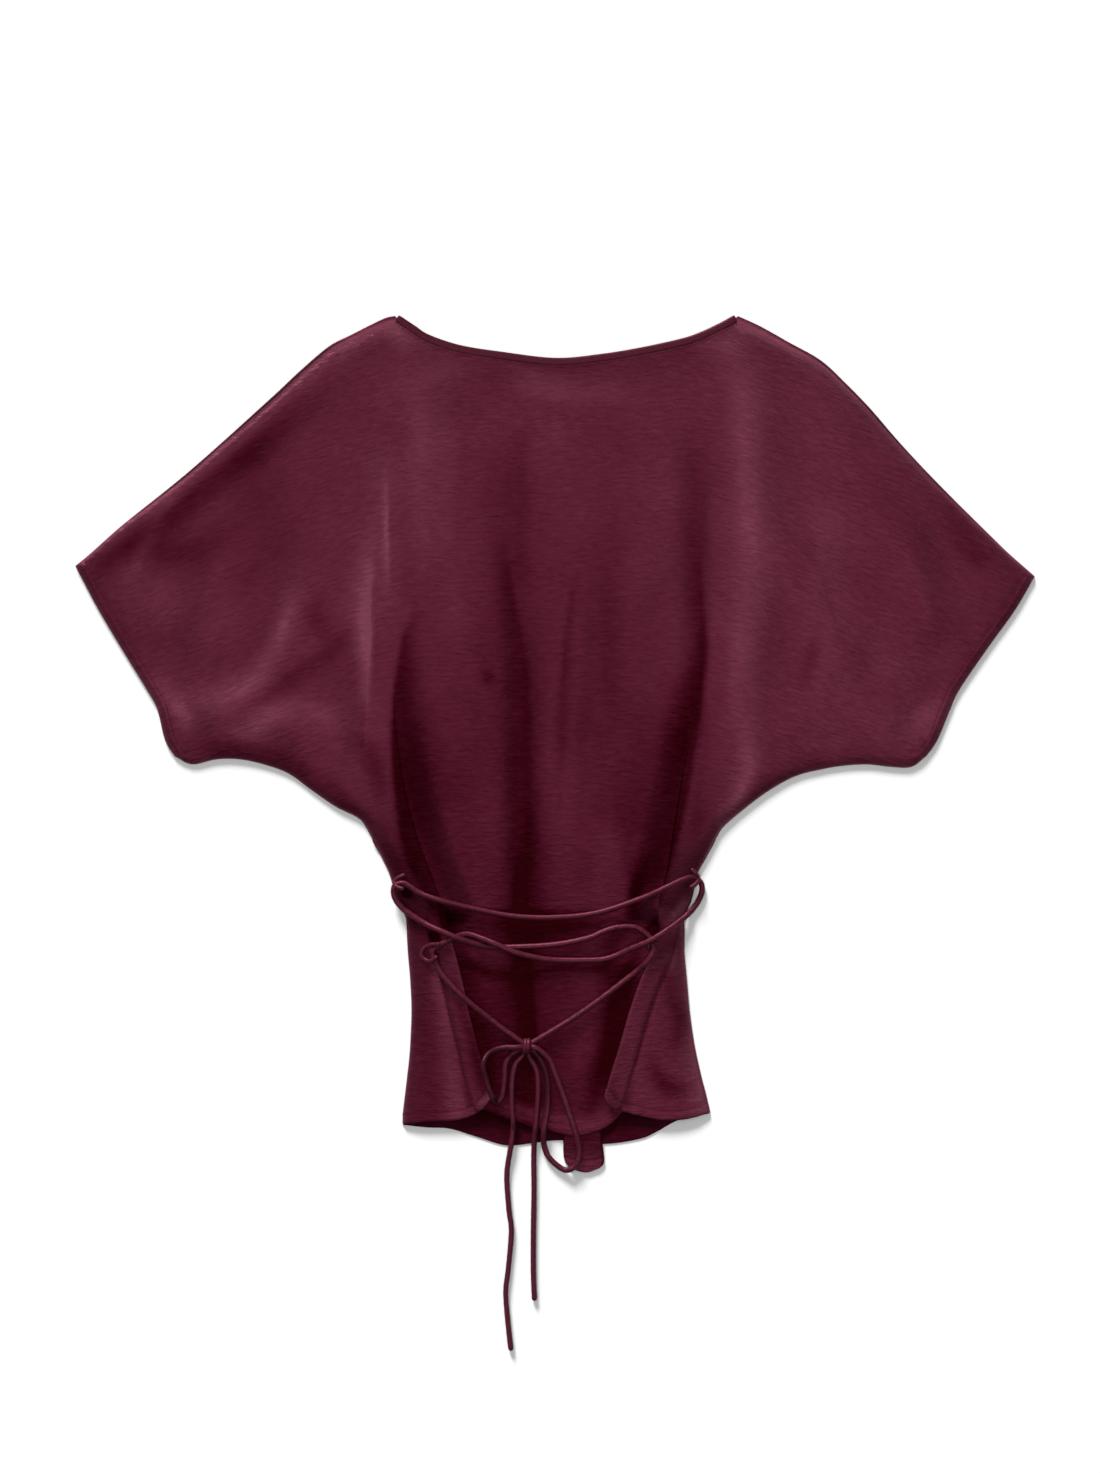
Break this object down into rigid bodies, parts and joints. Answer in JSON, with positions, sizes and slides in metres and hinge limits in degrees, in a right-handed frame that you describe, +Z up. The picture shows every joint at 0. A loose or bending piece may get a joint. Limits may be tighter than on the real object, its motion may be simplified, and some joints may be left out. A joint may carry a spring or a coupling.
{
  "type": "tie waist top",
  "caption": "Batwing-sleeved satin top laid flat, seen from its back, whose open side slits are laced and tied in a bow with a thin cord.",
  "frame": {"origin": "on the surface it lies on, under the middle of the cloth's outline", "axes": "+Z up, away from the surface and out of the laced back; +Y towards the neck; +X across, from one cuff to the other, to the right as seen from the laced side"},
  "size_m": [0.7482, 0.8045, 0.0169],
  "materials": {
    "satin": "burgundy crepe-back satin, soft sheen",
    "satin_inside": "inner face of the satin, matt",
    "binding": "folded satin strip",
    "cord": "satin rouleau"
  },
  "bodies": {
    "root": {"back_panel": "satin", "front_panel": "satin_inside", "front_pleat": "satin", "neck_binding_back": "binding", "neck_binding_front": "binding", "loop_top_left": "cord", "loop_top_right": "cord", "loop_low_left": "cord", "loop_low_right": "cord", "cord_upper_cross": "cord", "cord_left_turn": "cord", "cord_right_turn": "cord", "cord_left_leg": "cord", "cord_right_leg": "cord", "bow_loop_left": "cord", "bow_loop_right": "cord", "tail_long": "cord", "tail_short": "cord", "tie_knot": "cord"}
  },
  "joints": []
}
